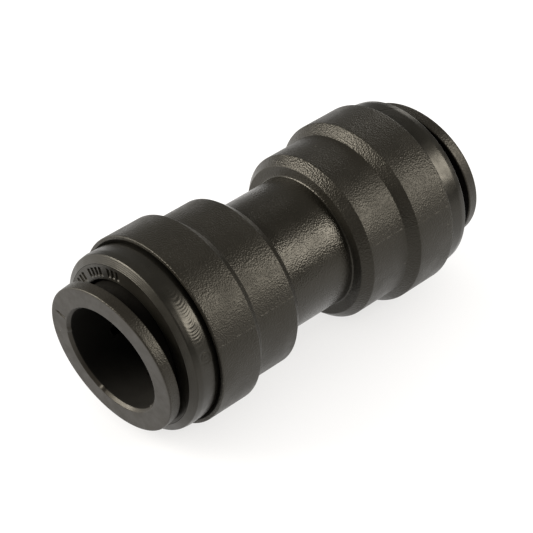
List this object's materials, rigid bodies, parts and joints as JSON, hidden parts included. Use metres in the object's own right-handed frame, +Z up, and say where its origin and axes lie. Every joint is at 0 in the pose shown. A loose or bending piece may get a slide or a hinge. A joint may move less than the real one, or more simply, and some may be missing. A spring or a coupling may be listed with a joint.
{
  "type": "push-fit coupling",
  "caption": "Straight push-fit tube coupling with a waisted body, an end cap at each mouth, and collets that press in to release the tube.",
  "frame": {"origin": "middle of the coupling, on the tube axis", "axes": "+X along the tube axis, out of the right-hand mouth; +Z up as the coupling lies"},
  "size_m": [0.0596, 0.027, 0.027],
  "materials": {
    "body_plastic": "spark-eroded satin, moulded acetal",
    "cap_plastic": "smooth satin-gloss, moulded acetal",
    "collet_plastic": "smooth satin, moulded acetal",
    "seal_rubber": "matt moulded rubber",
    "spacer_plastic": "matt moulded acetal",
    "grip_steel": "stamped stainless steel"
  },
  "bodies": {
    "fitting": {"body": "body_plastic", "left_end_cap": "cap_plastic", "right_end_cap": "cap_plastic", "left_o_ring": "seal_rubber", "right_o_ring": "seal_rubber"},
    "left_spacer": {"left_spacer_ring": "spacer_plastic"},
    "left_collet": {"left_collet": "collet_plastic", "left_grip_tooth_1": "grip_steel", "left_grip_tooth_2": "grip_steel", "left_grip_tooth_3": "grip_steel", "left_grip_tooth_4": "grip_steel", "left_grip_tooth_5": "grip_steel", "left_grip_tooth_6": "grip_steel"},
    "right_spacer": {"right_spacer_ring": "spacer_plastic"},
    "right_collet": {"right_collet": "collet_plastic", "right_grip_tooth_1": "grip_steel", "right_grip_tooth_2": "grip_steel", "right_grip_tooth_3": "grip_steel", "right_grip_tooth_4": "grip_steel", "right_grip_tooth_5": "grip_steel", "right_grip_tooth_6": "grip_steel"}
  },
  "joints": [
    {"name": "left_press", "type": "slide", "parent": "fitting", "child": "left_spacer", "axis": [1, 0, 0], "range_m": [0, 0.0015]},
    {"name": "left_rock", "type": "hinge", "parent": "left_spacer", "child": "left_collet", "pos_m": [-0.02405, 0, 0], "axis": [0, 0.8884, -0.4592], "range_deg": [0, 6.5]},
    {"name": "right_press", "type": "slide", "parent": "fitting", "child": "right_spacer", "axis": [-1, 0, 0], "range_m": [0, 0.0015]},
    {"name": "right_rock", "type": "hinge", "parent": "right_spacer", "child": "right_collet", "pos_m": [0.02405, 0, 0], "axis": [0, 0.6606, -0.7507], "range_deg": [0, 7.5]}
  ],
  "couplings": [
    {"joint": "left_rock", "follows": "left_press", "rad_per_m": 75.623},
    {"joint": "right_rock", "follows": "right_press", "rad_per_m": 87.258}
  ]
}
